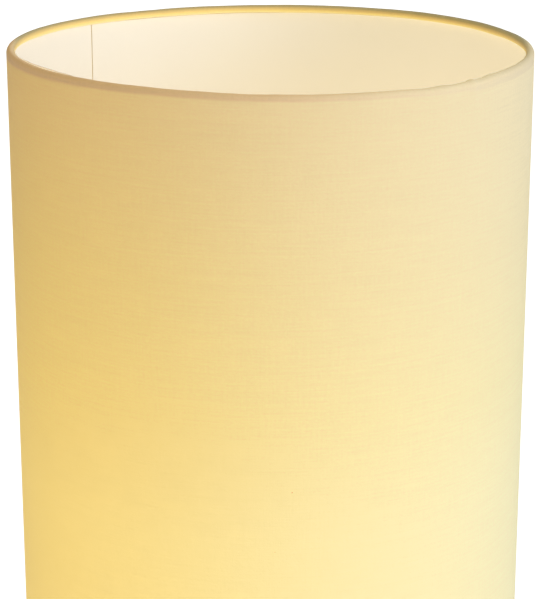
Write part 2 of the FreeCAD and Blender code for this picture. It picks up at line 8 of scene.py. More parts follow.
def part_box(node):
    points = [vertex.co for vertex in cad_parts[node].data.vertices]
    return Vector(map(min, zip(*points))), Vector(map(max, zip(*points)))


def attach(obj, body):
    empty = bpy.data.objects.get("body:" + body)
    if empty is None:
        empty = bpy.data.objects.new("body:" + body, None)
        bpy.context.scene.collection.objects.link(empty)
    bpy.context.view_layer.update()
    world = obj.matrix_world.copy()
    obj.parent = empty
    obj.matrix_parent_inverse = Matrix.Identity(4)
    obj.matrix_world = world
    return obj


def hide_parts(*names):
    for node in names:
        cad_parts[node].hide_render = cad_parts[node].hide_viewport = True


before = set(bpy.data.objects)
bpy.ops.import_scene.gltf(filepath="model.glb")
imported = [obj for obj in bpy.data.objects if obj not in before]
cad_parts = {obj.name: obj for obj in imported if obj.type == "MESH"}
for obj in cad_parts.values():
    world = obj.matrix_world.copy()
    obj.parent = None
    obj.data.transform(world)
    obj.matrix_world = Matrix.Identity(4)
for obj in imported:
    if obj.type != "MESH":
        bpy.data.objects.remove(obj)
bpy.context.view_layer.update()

bl_info = {
    "name": "Column Floor Lamp",
    "version": (1, 0, 0),
    "blender": (4, 5, 0),
    "location": "3D View > Sidebar > Lamp",
    "description": "Makes the cloth, finishes and photo studio of a lit column floor lamp",
    "category": "Object",
}

TURN = 2 * math.pi
MM = 0.001
CLOTH_MAP = "flat_cloth"       # UV map that gives places on a flat sheet, in metres

# ---- Sizes read from the frame, in metres
SHADE_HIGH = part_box("shade_cloth")[1]
SHADE_RADIUS = SHADE_HIGH.x
RIM_TOP = SHADE_HIGH.z
UPPER_HOOP_LOW, UPPER_HOOP_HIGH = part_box("upper_hoop")
LOWER_HOOP_LOW, LOWER_HOOP_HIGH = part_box("lower_hoop")
WIRE_RADIUS = (UPPER_HOOP_HIGH.z - UPPER_HOOP_LOW.z) / 2
HOOP_RADIUS = UPPER_HOOP_HIGH.x - WIRE_RADIUS
UPPER_HOOP_Z = (UPPER_HOOP_LOW.z + UPPER_HOOP_HIGH.z) / 2
LOWER_HOOP_Z = (LOWER_HOOP_LOW.z + LOWER_HOOP_HIGH.z) / 2
HEM_RADIUS = RIM_TOP - UPPER_HOOP_Z
LINING_LOW, LINING_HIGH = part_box("shade_lining")
LAP_LOW, LAP_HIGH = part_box("seam_lap")
LAP_MIDDLE = (LAP_LOW + LAP_HIGH) / 2
SEAM_ANGLE = math.atan2(LAP_MIDDLE.y, LAP_MIDDLE.x)
GLOBE_LOW, GLOBE_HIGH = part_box("bulb_globe")
BULB_HEIGHT = (GLOBE_LOW.z + GLOBE_HIGH.z) / 2
CAP_LOW, CAP_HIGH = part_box("bulb_cap")

# ---- Sizes of the pieces that are made here, in metres, and how finely they are divided
SEAM_LAP_WIDTH = 12 * MM
GLUE_LINE = 0.05 * MM          # between the lap and the cloth under it
HEM_TURN_DEG = 315             # how far the hem is rolled round its wire
HEM_STEP_DEG = 15
WALL_ROWS = 118
CLOTH_COLUMNS = 200
LINING_COLUMNS = 224
LAP_ROWS, LAP_COLUMNS = 120, 10
RAW_EDGE_THICKNESS = 0.25 * MM
RAW_EDGE_INSIDE = 1.75 * MM    # how far inside the hoop's circle its foot is
RAW_EDGE_FOOT = 0.9 * MM       # how far its foot is below the rim
RAW_EDGE_LEAN = 0.1 * MM
RAW_EDGE_ROWS, RAW_EDGE_COLUMNS = 4, 88
CAP_WALL = 0.5 * MM
CAP_TAPER = 2 * MM             # height of the end that is drawn in
CAP_DRAW_IN = 1.55 * MM
CAP_PLAIN_TOP = 2 * MM
CAP_ROWS, CAP_COLUMNS = 60, 72
GLOW_REACH = 0.75              # how far above and below the bulb the shade is lit

# ---- The photograph's camera, in the 542 x 599 frame
PHOTO_HEIGHT_PX = 599
FOCAL_LENGTH_PX = 2104.5
CAMERA_DISTANCE = 0.9951       # from the lamp's axis
CAMERA_ABOVE_RIM = 0.1721
CAMERA_TILT_DEG = 16.720       # downwards
CAMERA_SIDE = 0.00022


# ---- Settings
class ShadeSettings(bpy.types.PropertyGroup):
    cloth_thickness: FloatProperty(
        name="Cloth Thickness", description="Thickness of the woven cloth",
        default=0.5 * MM, min=0.1 * MM, max=1.5 * MM, unit="LENGTH", precision=4)
    lining_thickness: FloatProperty(
        name="Lining Thickness", description="Thickness of the plastic lining",
        default=0.4 * MM, min=0.1 * MM, max=1.0 * MM, unit="LENGTH", precision=4)
    seam_gap: FloatProperty(
        name="Seam Gap", description="Gap between the ends of the lining",
        default=0.7 * MM, min=0.0, max=3 * MM, unit="LENGTH", precision=4)
    hem_unevenness: FloatProperty(
        name="Hem Unevenness", description="How far the rolled hem swells and shrinks",
        default=0.16 * MM, min=0.0, max=0.5 * MM, unit="LENGTH", precision=5)
    tuck_height: FloatProperty(
        name="Tuck Height", description="How far the tucks in the hem stand out",
        default=0.45 * MM, min=0.0, max=1.0 * MM, unit="LENGTH", precision=5)
    thread_spacing: FloatProperty(
        name="Thread Spacing", description="Distance from thread to thread in the weave",
        default=0.48 * MM, min=0.2 * MM, max=2 * MM, unit="LENGTH", precision=5)
    cloth_color: FloatVectorProperty(
        name="Cloth Colour", description="Colour of the cloth with the lamp off",
        default=(0.73, 0.625, 0.415), subtype="COLOR", min=0.0, max=1.0)
    lining_color: FloatVectorProperty(
        name="Lining Colour", description="Colour of the lining with the lamp off",
        default=(0.86, 0.84, 0.78), subtype="COLOR", min=0.0, max=1.0)


class StandSettings(bpy.types.PropertyGroup):
    coat_color: FloatVectorProperty(
        name="Coat Colour", description="Colour of the powder coat on the base and stem",
        default=(0.66, 0.63, 0.57), subtype="COLOR", min=0.0, max=1.0)
    thread_pitch: FloatProperty(
        name="Thread Pitch", description="Rise of the bulb's screw thread in one turn",
        default=3.63 * MM, min=1 * MM, max=6 * MM, unit="LENGTH", precision=5)
    thread_depth: FloatProperty(
        name="Thread Depth", description="Depth of the bulb's screw thread",
        default=0.95 * MM, min=0.0, max=1.5 * MM, unit="LENGTH", precision=5)


class StageSettings(bpy.types.PropertyGroup):
    key_power: FloatProperty(
        name="Key Power", description="Power of the lamp on the right",
        default=20.0, min=0.0, max=100.0, unit="POWER")
    fill_power: FloatProperty(
        name="Fill Power", description="Power of the lamp in front",
        default=10.0, min=0.0, max=100.0, unit="POWER")
    room_color: FloatVectorProperty(
        name="Room Light", description="Light that comes from all round",
        default=(0.24, 0.225, 0.18), subtype="COLOR", min=0.0, max=1.0)


# ---- Making and shaping pieces
def take(piece):
    """Makes this the only selected object, and the active one."""
    bpy.ops.object.select_all(action="DESELECT")
    piece.select_set(True)
    bpy.context.view_layer.objects.active = piece


def smooth(piece, degrees):
    """Shades a piece smooth, apart from edges that turn by more than this."""
    take(piece)
    bpy.ops.object.shade_smooth_by_angle(angle=math.radians(degrees))


def finished(piece, body, material, slot, *replaced):
    """Gives a piece its material and its body, and hides the CAD nodes that it stands for. slot is
    not used.
    """
    piece.data.materials.clear()
    piece.data.materials.append(material)
    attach(piece, body)
    if replaced:
        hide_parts(*replaced)
    return piece


def cad_finish(material, *nodes):
    """Gives CAD nodes this material."""
    for name in nodes:
        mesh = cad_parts[name].data
        mesh.materials.clear()
        mesh.materials.append(material)


def lathe(name, outline, steps):
    """Turns a drawn (radius, height) outline about the lamp's axis."""
    bpy.ops.object.select_all(action="DESELECT")
    bpy.ops.mesh.primitive_plane_add(size=MM, location=(0, 0, 0))
    piece = bpy.context.object
    piece.name = piece.data.name = name
    bpy.ops.object.mode_set(mode="EDIT")
    bpy.ops.mesh.merge(type="CENTER")
    places = [Vector((r, 0, z)) for r, z in outline]
    bpy.ops.transform.translate(value=places[0])
    for start, end in zip(places, places[1:]):
        bpy.ops.mesh.extrude_region_move(TRANSFORM_OT_translate={"value": end - start})
    bpy.ops.mesh.select_all(action="SELECT")
    bpy.ops.mesh.spin(steps=steps, angle=TURN, center=(0, 0, 0), axis=(0, 0, 1))
    bpy.ops.mesh.select_all(action="SELECT")
    bpy.ops.mesh.remove_doubles(threshold=1e-6)
    bpy.ops.mesh.normals_make_consistent(inside=False)
    bpy.ops.object.mode_set(mode="OBJECT")
    return piece


def evenly(first, sweep, columns):
    """Numbers from first to first + sweep, in equal steps."""
    return [first + sweep * j / columns for j in range(columns + 1)]


def sheet_of(name, outline, angles, shift):
    """A thin sheet that follows this (radius, height) outline round the lamp's axis, with a column
    at each of these angles. Its UV map gives the place on the flat sheet in metres, across and up.
    shift(angle, radius, height) moves each place."""
    closed = abs(angles[-1] - angles[0] - TURN) < 1e-9
    stored = angles[:-1] if closed else angles
    runs = [0.0]
    for (r0, z0), (r1, z1) in zip(outline, outline[1:]):
        runs.append(runs[-1] + math.hypot(r1 - r0, z1 - z0))
    corners = []
    for angle in stored:
        for place in outline:
            r, z = shift(angle, *place)
            corners.append((r * math.cos(angle), r * math.sin(angle), z))
    rows = len(outline)
    faces, places = [], []
    for j in range(len(angles) - 1):
        here, there = j * rows, ((j + 1) % len(stored)) * rows
        left, right = (SHADE_RADIUS * (angle - angles[0]) for angle in angles[j:j + 2])
        for i in range(rows - 1):
            faces.append((here + i, there + i, there + i + 1, here + i + 1))
            places += [(left, runs[i]), (right, runs[i]), (right, runs[i + 1]), (left, runs[i + 1])]
    mesh = bpy.data.meshes.new(name)
    mesh.from_pydata(corners, [], faces)
    layer = mesh.uv_layers.new(name=CLOTH_MAP)
    layer.data.foreach_set("uv", [x for place in places for x in place])
    piece = bpy.data.objects.new(name, mesh)
    bpy.context.scene.collection.objects.link(piece)
    return piece


def thicken(piece, thickness):
    """Gives a sheet this thickness, half of it on each side."""
    wall = piece.modifiers.new("wall", "SOLIDIFY")
    wall.thickness = thickness
    wall.offset = 0.0
    take(piece)
    bpy.ops.object.modifier_apply(modifier=wall.name)


# ---- Node helpers
def new_group(name, inputs, outputs):
    """An empty shader group. inputs are {name: default}, vectors where the default has a length.
    Also returns the sockets that give its inputs, and those that take its results."""
    group = bpy.data.node_groups.new(name, "ShaderNodeTree")
    for label, default in inputs.items():
        kind = "NodeSocketVector" if hasattr(default, "__len__") else "NodeSocketFloat"
        group.interface.new_socket(label, in_out="INPUT", socket_type=kind).default_value = default
    for label in outputs:
        group.interface.new_socket(label, in_out="OUTPUT", socket_type="NodeSocketFloat")
    given = group.nodes.new("NodeGroupInput").outputs
    return group, given, group.nodes.new("NodeGroupOutput").inputs


class Wiring:
    """Adds nodes to a tree. Each method returns the new node's main output."""

    def __init__(self, tree):
        self.tree = tree

    def feed(self, socket, value):
        """Links a node's output to a socket, or sets the socket to a number or vector."""
        if isinstance(value, bpy.types.NodeSocket):
            self.tree.links.new(value, socket)
        elif value is not None:
            socket.default_value = value

    def math(self, operation, a, b=None, c=None):
        node = self.tree.nodes.new("ShaderNodeMath")
        node.operation = operation
        for socket, value in zip(node.inputs, (a, b, c)):
            self.feed(socket, value)
        return node.outputs[0]

    def stretch(self, vector, scale, location=(0, 0, 0)):
        node = self.tree.nodes.new("ShaderNodeMapping")
        self.feed(node.inputs["Vector"], vector)
        node.inputs["Scale"].default_value = scale
        node.inputs["Location"].default_value = location
        return node.outputs[0]

    def noise(self, vector, scale=1.0, detail=2.0, roughness=0.5):
        node = self.tree.nodes.new("ShaderNodeTexNoise")
        self.feed(node.inputs["Vector"], vector)
        self.feed(node.inputs["Scale"], scale)
        node.inputs["Detail"].default_value = detail
        node.inputs["Roughness"].default_value = roughness
        return node.outputs[0]

    def separate(self, vector):
        node = self.tree.nodes.new("ShaderNodeSeparateXYZ")
        self.feed(node.inputs[0], vector)
        return node.outputs

    def between(self, value, low, high, to_low=0.0, to_high=1.0):
        """to_low below low and to_high above high, with a soft change between them."""
        node = self.tree.nodes.new("ShaderNodeMapRange")
        node.interpolation_type = "SMOOTHSTEP"
        for label, given in (("Value", value), ("From Min", low), ("From Max", high),
                             ("To Min", to_low), ("To Max", to_high)):
            self.feed(node.inputs[label], given)
        return node.outputs[0]

    def near(self, place, spot, radius):
        """1 within this radius of a spot, and 0 outside."""
        node = self.tree.nodes.new("ShaderNodeVectorMath")
        node.operation = "DISTANCE"
        self.feed(node.inputs[0], place)
        node.inputs[1].default_value = spot
        return self.between(node.outputs["Value"], 0.6 * radius, radius, 1.0, 0.0)

    def blend(self, share, a, b, kind="MIX"):
        """Mixes two colours, b coming in by this share."""
        node = self.tree.nodes.new("ShaderNodeMix")
        node.data_type = "RGBA"
        node.blend_type = kind
        self.feed(node.inputs["Factor"], share)
        for label, color in (("A", a), ("B", b)):
            socket = next(s for s in node.inputs if s.name == label and s.type == "RGBA")
            if isinstance(color, bpy.types.NodeSocket):
                self.feed(socket, color)
            else:
                socket.default_value = (*tuple(color)[:3], 1.0)
        return next(s for s in node.outputs if s.type == "RGBA")

    def tinted(self, color, value):
        """A colour made lighter or darker by a value near 1."""
        node = self.tree.nodes.new("ShaderNodeCombineColor")
        for socket in node.inputs:
            self.feed(socket, value)
        return self.blend(1.0, color, node.outputs[0], "MULTIPLY")

    def ramp(self, value, stops):
        """A colour for each value, from (value, colour) stops."""
        node = self.tree.nodes.new("ShaderNodeValToRGB")
        self.feed(node.inputs[0], value)
        elements = node.color_ramp.elements
        while len(elements) < len(stops):
            elements.new(1.0)
        for element, (position, color) in zip(elements, stops):
            element.position = position
            element.color = (*color, 1.0)
        return node.outputs[0]

    def group(self, name, **inputs):
        """Places a shader group. An underscore in an input's name stands for a space."""
        node = self.tree.nodes.new("ShaderNodeGroup")
        node.node_tree = bpy.data.node_groups[name]
        for label, value in inputs.items():
            self.feed(node.inputs[label.replace("_", " ")], value)
        return node.outputs

    def bump(self, height, strength, distance):
        node = self.tree.nodes.new("ShaderNodeBump")
        self.feed(node.inputs["Height"], height)
        node.inputs["Strength"].default_value = strength
        node.inputs["Distance"].default_value = distance
        return node.outputs[0]


def new_material(name, **constants):
    """A material with a Principled BSDF, and the sockets in constants set on it."""
    material = bpy.data.materials.new(name)
    material.use_nodes = True
    shader = material.node_tree.nodes["Principled BSDF"]
    for label, value in constants.items():
        shader.inputs[label.replace("_", " ")].default_value = value
    return material, shader.inputs, Wiring(material.node_tree)


def object_place(wiring):
    """Object coordinates, which are the lamp's own on every piece."""
    return wiring.tree.nodes.new("ShaderNodeTexCoord").outputs["Object"]


def cloth_place(wiring):
    """Places on the flat sheet, in metres, across and up."""
    node = wiring.tree.nodes.new("ShaderNodeUVMap")
    node.uv_map = CLOTH_MAP
    return node.outputs[0]


def from_axis(wiring, x, y):
    """The distance of a place from the lamp's axis."""
    w = wiring
    return w.math("SQRT", w.math("ADD", w.math("MULTIPLY", x, x), w.math("MULTIPLY", y, y)))


# ---- Effects that several materials share
def weave_group():
    """Plain weave with slubs, from places on the flat cloth to a shade near 1 and a height."""
    group, given, result = new_group(
        "plain weave",
        {"Place": (0, 0, 0), "Spacing": 0.0005, "Slub": 0.2, "Thread": 0.03, "Cloud": 0.02},
        ["Shade", "Height"])
    w = Wiring(group)
    place = given["Place"]
    streaks = None
    # thick and thin yarns: three scales along the weft, and one along the warp
    for scale, shift, weight in (
            ((60, 1100, 1), (0, 0, 0), 1.0), ((13, 800, 1), (3, 7, 0), 0.8),
            ((620, 1050, 1), (5, 1, 0), 1.3), ((1000, 60, 1), (11, 2, 0), 0.7)):
        yarn = w.noise(w.stretch(place, scale, location=shift), detail=2, roughness=0.6)
        yarn = w.math("MULTIPLY", w.math("SUBTRACT", yarn, 0.5), weight)
        streaks = w.math("ADD", streaks, yarn) if streaks else yarn
    cloud = w.noise(w.stretch(place, (14, 20, 1)), detail=3)
    waver = w.noise(w.stretch(place, (55, 70, 1), location=(2, 9, 0)), detail=2)
    waver = w.math("MULTIPLY", w.math("SUBTRACT", waver, 0.5),
                   w.math("MULTIPLY", given["Spacing"], 6.0))
    across, up, _ = w.separate(place)
    turns = w.math("DIVIDE", math.pi, given["Spacing"])
    weft = w.math("SINE", w.math("MULTIPLY", w.math("ADD", up, waver), turns))
    warp = w.math("SINE", w.math("MULTIPLY", w.math("ADD", across, waver), turns))
    crossing = w.math("ABSOLUTE", w.math("MULTIPLY", weft, warp))
    shade = w.math("MULTIPLY_ADD", streaks, given["Slub"], 1.0)
    shade = w.math("MULTIPLY_ADD", w.math("SUBTRACT", crossing, 0.4), given["Thread"], shade)
    shade = w.math("MULTIPLY_ADD", w.math("SUBTRACT", cloud, 0.5), given["Cloud"], shade)
    w.feed(result["Shade"], shade)
    w.feed(result["Height"], w.math("ADD", crossing, w.math("MULTIPLY", streaks, 1.2)))


def glow_group():
    """How near a place is to the bulb's height, from 0 to 1, how far it is from the axis, and where
    it is in the shade: Side from 0 at -X to 1 at +X, and Back from 0 at -Y to 1 at +Y."""
    group, given, result = new_group(
        "nearness to the bulb",
        {"Place": (0, 0, 0), "Bulb Height": 0.7, "Reach": 0.75, "Across": 0.125},
        ["Nearness", "Radius", "Side", "Back"])
    w = Wiring(group)
    x, y, z = w.separate(given["Place"])
    away = w.math("ABSOLUTE", w.math("SUBTRACT", z, given["Bulb Height"]))
    share = w.math("SUBTRACT", 1.0, w.math("DIVIDE", away, given["Reach"]))
    w.feed(result["Nearness"], w.math("MAXIMUM", share, 0.0))
    w.feed(result["Radius"], from_axis(w, x, y))
    w.feed(result["Side"], w.math("MULTIPLY_ADD", w.math("DIVIDE", x, given["Across"]), 0.5, 0.5))
    w.feed(result["Back"], w.math("MULTIPLY_ADD", w.math("DIVIDE", y, given["Across"]), 0.5, 0.5))


def grain_group():
    """Fine grain of a coat, casting or moulding, with slow changes of tone over the piece."""
    group, given, result = new_group(
        "fine grain", {"Place": (0, 0, 0), "Grain per metre": 1500.0, "Tone": 0.05},
        ["Shade", "Height"])
    w = Wiring(group)
    fine = w.noise(given["Place"], given["Grain per metre"], detail=2)
    slow = w.noise(given["Place"], 22.0, detail=3)
    both = w.math("ADD", w.math("SUBTRACT", slow, 0.5),
                  w.math("MULTIPLY", w.math("SUBTRACT", fine, 0.5), 0.4))
    w.feed(result["Shade"], w.math("MULTIPLY_ADD", both, given["Tone"], 1.0))
    w.feed(result["Height"], fine)


def turning_group():
    """Fine rings left round the lamp's axis by turning or drawing metal."""
    group, given, result = new_group(
        "turning lines", {"Place": (0, 0, 0), "Lines per metre": 3000.0, "Tone": 0.08},
        ["Shade", "Height"])
    w = Wiring(group)
    x, y, z = w.separate(given["Place"])
    join = group.nodes.new("ShaderNodeCombineXYZ")
    w.feed(join.inputs["X"], from_axis(w, x, y))
    w.feed(join.inputs["Y"], z)
    rings = w.noise(join.outputs[0], given["Lines per metre"], detail=1)
    slow = w.noise(given["Place"], 60.0, detail=3)
    both = w.math("ADD", w.math("SUBTRACT", rings, 0.5), w.math("SUBTRACT", slow, 0.5))
    w.feed(result["Shade"], w.math("MULTIPLY_ADD", both, given["Tone"], 1.0))
    w.feed(result["Height"], rings)


# ---- Materials
def shade_glow(wiring):
    """Where a place on the shade is, to the bulb and round the axis."""
    return wiring.group("nearness to the bulb", Place=object_place(wiring), Bulb_Height=BULB_HEIGHT,
                        Reach=GLOW_REACH, Across=SHADE_RADIUS)


def cloth_material(settings, climb, hem_run):
    """Natural cloth with the bulb's light behind it painted on as glow: bright towards the bulb,
    warmer and brighter on the left, and dim over the hoops' wire as a painted shadow. Painted shade
    also darkens the hem's colour along its roll. climb is the length of its wall, and hem_run the
    length rolled round each hoop."""
    material, shader, w = new_material("natural_cloth", Roughness=0.9, Sheen_Weight=0.22,
                                       Sheen_Tint=(0.62, 0.82, 1.0, 1.0), Sheen_Roughness=0.5,
                                       Specular_IOR_Level=0.12)
    place = cloth_place(w)
    weave = w.group("plain weave", Place=place, Spacing=settings.thread_spacing,
                    Slub=0.20, Thread=0.055, Cloud=0.03)
    glow = shade_glow(w)
    across = w.math("MULTIPLY_ADD", glow["Side"], 2.0, -1.0)
    outward = w.math("MULTIPLY", across, across)

    # how far past the wall a place is on the sheet, and the ragged band where the wire shadows it
    past = w.math("ABSOLUTE", w.math("SUBTRACT", w.separate(place)[1], climb / 2 + hem_run))
    past = w.math("SUBTRACT", past, climb / 2)
    ragged = w.noise(object_place(w), 55.0, detail=2)
    band = w.math("MULTIPLY_ADD", outward, 1.2 * MM, w.math("MULTIPLY", ragged, 1.0 * MM))
    folded = w.math("MULTIPLY", w.between(across, 0.66, 0.74), w.between(glow["Back"], 0.45, 0.40))
    band = w.math("ADD", band, w.math("MULTIPLY_ADD", folded, 1.2 * MM, 0.35 * MM))
    over_wire = w.between(w.math("ADD", past, band), -0.5 * MM, 0.9 * MM)

    # how far round the wire the hem is rolled, from 0 to 1, the painted shadow reaching further
    # round on the far right hem
    rolled = w.math("DIVIDE", past, hem_run)
    far = w.between(glow["Back"], 0.45, 0.60)
    shadow = w.math("MULTIPLY", w.between(across, -0.3, 0.8), far)
    turned = w.math("MULTIPLY_ADD", shadow, -0.08, rolled)

    # the weave shows more in the light that comes through than on the face
    face = w.math("MULTIPLY_ADD", w.math("SUBTRACT", weave["Shade"], 1.0), 0.2, 1.0)
    cloth = w.tinted(settings.cloth_color, face)
    # painted shade and light in the hem's colour along its roll: a dark shade line, then a yellower
    # lit band
    hem_painted_shade = w.ramp(turned, [
        (0.00, (1.00, 1.00, 1.00)), (0.18, (0.97, 0.97, 0.94)), (0.28, (0.84, 0.83, 0.72)),
        (0.39, (0.74, 0.70, 0.52)), (0.46, (0.94, 0.82, 0.52)), (0.60, (1.00, 0.93, 0.58)),
        (0.74, (1.00, 0.96, 0.76)), (1.00, (0.92, 0.84, 0.50))])
    # less of that painted shade on the outer roll of the near hem
    near_hem_shade_lessened = w.math("MULTIPLY", w.math("SUBTRACT", 1.0, far),
                       w.between(rolled, 0.40, 0.46, 0.8, 0.0))
    hem_painted_shade = w.blend(near_hem_shade_lessened, hem_painted_shade, (1.0, 1.0, 1.0))
    cloth = w.blend(1.0, cloth, hem_painted_shade, "MULTIPLY")
    for degrees, below, radius in FLECKS:
        turned_to = (math.radians(degrees - 90) - SEAM_ANGLE) % TURN
        down = below * MM - HEM_RADIUS
        spot = (SHADE_RADIUS * turned_to, hem_run + climb - down, 0)
        cloth = w.blend(w.near(place, spot, radius * MM), cloth, (0.05, 0.03, 0.015))
    w.feed(shader["Base Color"], cloth)

    # the bulb's light through the wall, and through and over the hem, painted on as glow: warmer
    # and brighter on the left side, paler on the right
    left = w.ramp(glow["Nearness"], [
        (0.00, (0.22, 0.10, 0.005)), (0.375, (0.430, 0.222, 0.014)), (0.485, (0.545, 0.322, 0.018)),
        (0.565, (0.65, 0.40, 0.028)), (0.645, (0.742, 0.486, 0.056)), (1.00, (0.84, 0.56, 0.08))])
    right = w.ramp(glow["Nearness"], [
        (0.00, (0.15, 0.13, 0.06)), (0.375, (0.248, 0.210, 0.107)), (0.485, (0.276, 0.236, 0.095)),
        (0.565, (0.306, 0.280, 0.100)), (0.645, (0.335, 0.325, 0.150)),
        (1.00, (0.40, 0.385, 0.185))])
    # painted shade: the glow dims towards the left edge
    painted_left_dimming = w.math("MULTIPLY", w.math("MINIMUM", across, 0.0), across)
    wall = w.blend(glow["Side"], left, right)
    wall = w.tinted(wall, w.math("MULTIPLY_ADD", painted_left_dimming, -0.20, 1.0))
    # painted shade: the glow is weaker on the cloth's inner face
    outside = w.between(glow["Radius"], SHADE_RADIUS - 0.32 * MM, SHADE_RADIUS - 0.18 * MM,
                        0.15, 1.0)
    wall = w.tinted(wall, outside)
    # painted glow through the hem: different on the left, right and far right, fading as the hem
    # rolls round, and painted glow on its inner side
    hem = w.blend(w.between(across, -0.1, 0.75), (0.235, 0.095, 0.012), (0.265, 0.198, 0.10))
    hem = w.blend(w.between(across, 0.65, 1.0), hem, (0.185, 0.14, 0.065))
    hem = w.tinted(hem, w.between(w.math("MULTIPLY_ADD", far, 0.22, rolled), 0.27, 0.56, 1.0, 0.0))
    inner = w.ramp(turned, [
        (0.00, (0.0, 0.0, 0.0)), (0.18, (0.03, 0.025, 0.0)), (0.34, (0.13, 0.095, 0.022)),
        (0.42, (0.13, 0.085, 0.020)), (0.50, (0.20, 0.12, 0.03)), (0.62, (0.32, 0.235, 0.06)),
        (0.76, (0.36, 0.33, 0.16)), (1.00, (0.08, 0.05, 0.0))])
    light = w.blend(over_wire, wall, w.blend(1.0, hem, inner, "ADD"))
    w.feed(shader["Emission Color"], w.tinted(light, weave["Shade"]))
    shader["Emission Strength"].default_value = 1.05
    w.feed(shader["Normal"], w.bump(weave["Height"], 0.35, 0.12 * MM))
    return material


def raw_edge_material():
    """The cut edge of the cloth, with the light from inside painted on as glow, and a dark top rim
    that is a painted shadow line.
    """
    material, shader, w = new_material("raw_cloth_edge", Roughness=0.9, Specular_IOR_Level=0.12)
    grain = w.group("fine grain", Place=object_place(w), Grain_per_metre=900.0, Tone=0.04)
    # the top rim of the edge, painted darker in colour and glow: a painted shadow line
    rim = w.between(w.separate(cloth_place(w))[1], 0.84 * MM, 0.92 * MM)
    color = w.blend(rim, (0.78, 0.72, 0.60), (0.42, 0.36, 0.26))
    w.feed(shader["Base Color"], w.tinted(color, grain["Shade"]))
    # the light from inside, painted on as glow
    light = w.blend(rim, (0.54, 0.455, 0.33), (0.26, 0.20, 0.12))
    w.feed(shader["Emission Color"], w.tinted(light, grain["Shade"]))
    shader["Emission Strength"].default_value = 1.0
    w.feed(shader["Normal"], w.bump(grain["Height"], 0.3, 0.1 * MM))
    return material


def lining_material(settings):
    """Smooth plastic sheet, with the bulb's light on its inner face painted on as glow, brighter on
    the right side.
    """
    material, shader, w = new_material("lining_sheet", Roughness=0.55, Specular_IOR_Level=0.3)
    grain = w.group("fine grain", Place=object_place(w), Grain_per_metre=420.0, Tone=0.03)
    glow = shade_glow(w)
    w.feed(shader["Base Color"], w.tinted(settings.lining_color, grain["Shade"]))
    # painted glow, dimmer on the left (-X) side and brighter on the right
    left = w.ramp(glow["Nearness"], [
        (0.0, (0.04, 0.03, 0.02)), (0.37, (0.060, 0.046, 0.036)), (0.47, (0.14, 0.115, 0.080)),
        (1.0, (0.30, 0.25, 0.18))])
    right = w.ramp(glow["Nearness"], [
        (0.0, (0.10, 0.08, 0.04)), (0.37, (0.31, 0.255, 0.156)), (0.47, (0.36, 0.300, 0.188)),
        (1.0, (0.40, 0.34, 0.22))])
    light = w.blend(glow["Side"], left, right)
    w.feed(shader["Emission Color"], w.tinted(light, grain["Shade"]))
    shader["Emission Strength"].default_value = 1.0
    w.feed(shader["Normal"], w.bump(grain["Height"], 0.10, 0.2 * MM))
    return material


def grained(name, color, roughness, grain=1500.0, depth=0.03):
    """A coated, cast or moulded finish, with this many grains to the metre, depth mm deep."""
    material, shader, w = new_material(name, Roughness=roughness)
    group = w.group("fine grain", Place=object_place(w), Grain_per_metre=grain, Tone=0.06)
    w.feed(shader["Base Color"], w.tinted(color, group["Shade"]))
    w.feed(shader["Roughness"], w.math("MULTIPLY", group["Shade"], roughness))
    w.feed(shader["Normal"], w.bump(group["Height"], 0.4, depth * MM))
    return material


def turned_metal(name, color, roughness):
    """A bright metal finish with fine rings round the axis."""
    material, shader, w = new_material(name, Metallic=1.0)
    group = w.group("turning lines", Place=object_place(w), Lines_per_metre=3000.0, Tone=0.10)
    w.feed(shader["Base Color"], w.tinted(color, group["Shade"]))
    w.feed(shader["Roughness"], w.math("MULTIPLY", group["Shade"], roughness))
    w.feed(shader["Normal"], w.bump(group["Height"], 0.3, 0.02 * MM))
    return material


def globe_material():
    """Opal diffuser, lit."""
    material, shader, w = new_material("opal_diffuser", Roughness=0.35,
                                       Base_Color=(0.9, 0.88, 0.82, 1))
    grain = w.group("fine grain", Place=object_place(w), Grain_per_metre=700.0, Tone=0.03)
    w.feed(shader["Emission Color"], w.tinted((1.0, 0.83, 0.55), grain["Shade"]))
    w.feed(shader["Normal"], w.bump(grain["Height"], 0.1, 0.05 * MM))
    shader["Emission Strength"].default_value = 0.75
    return material


# ---- The shade
def hem_arc(z_hoop, start_deg, end_deg, radius):
    """Places on a rolled hem, by the angle about the hoop's wire."""
    count = round(abs(end_deg - start_deg) / HEM_STEP_DEG)
    angles = [math.radians(degrees) for degrees in evenly(start_deg, end_deg - start_deg, count)]
    return [(HOOP_RADIUS + radius * math.cos(a), z_hoop + radius * math.sin(a)) for a in angles]


def front_degrees(angle):
    """The angle about the lamp from its front, positive to the right, from -180 to 180."""
    return (math.degrees(angle) + 90 + 180) % 360 - 180


# Tucks in the hem: degrees from the front, width in degrees, and share of the tuck height. The
# last is a broad swelling under the others.
TUCKS = ((36.5, 2.2, 0.8), (41.0, 1.6, -0.4), (45.5, 0.9, 1.3), (52.0, 1.7, 0.6), (61.0, 1.3, 0.4),
         (50.0, 12.0, 0.4))
TUCKED_DEG = (30, 64)

# Degrees from the front, and millimetres that the upper hoop stands out of its plane there
RIM_RISE = (
    (-180, 0.05), (-150, 0.0), (-132, 0.35), (-118, 0.6), (-90, 0.9), (-60, 1.15), (-30, 1.15),
    (-18, 0.8), (0, 0.1), (12, -0.3), (25, -0.5), (35, -1.25), (47, -1.0), (57, -0.3), (75, 0.0),
    (112, 0.2), (124, 0.5), (144, 0.55), (158, 0.3), (180, 0.05))

# Degrees from the front, and millimetres above the rim that the cut edge of the cloth reaches
RAW_EDGE_TOP = (
    (-84, -0.85), (-74, -0.8), (-64, -0.1), (-55, 0.1), (-49, -0.1), (-42, -0.75), (-36, -0.85))
RAW_EDGE_DEG = (-174, 48)      # where it starts, from +X about +Z, and how far it goes on

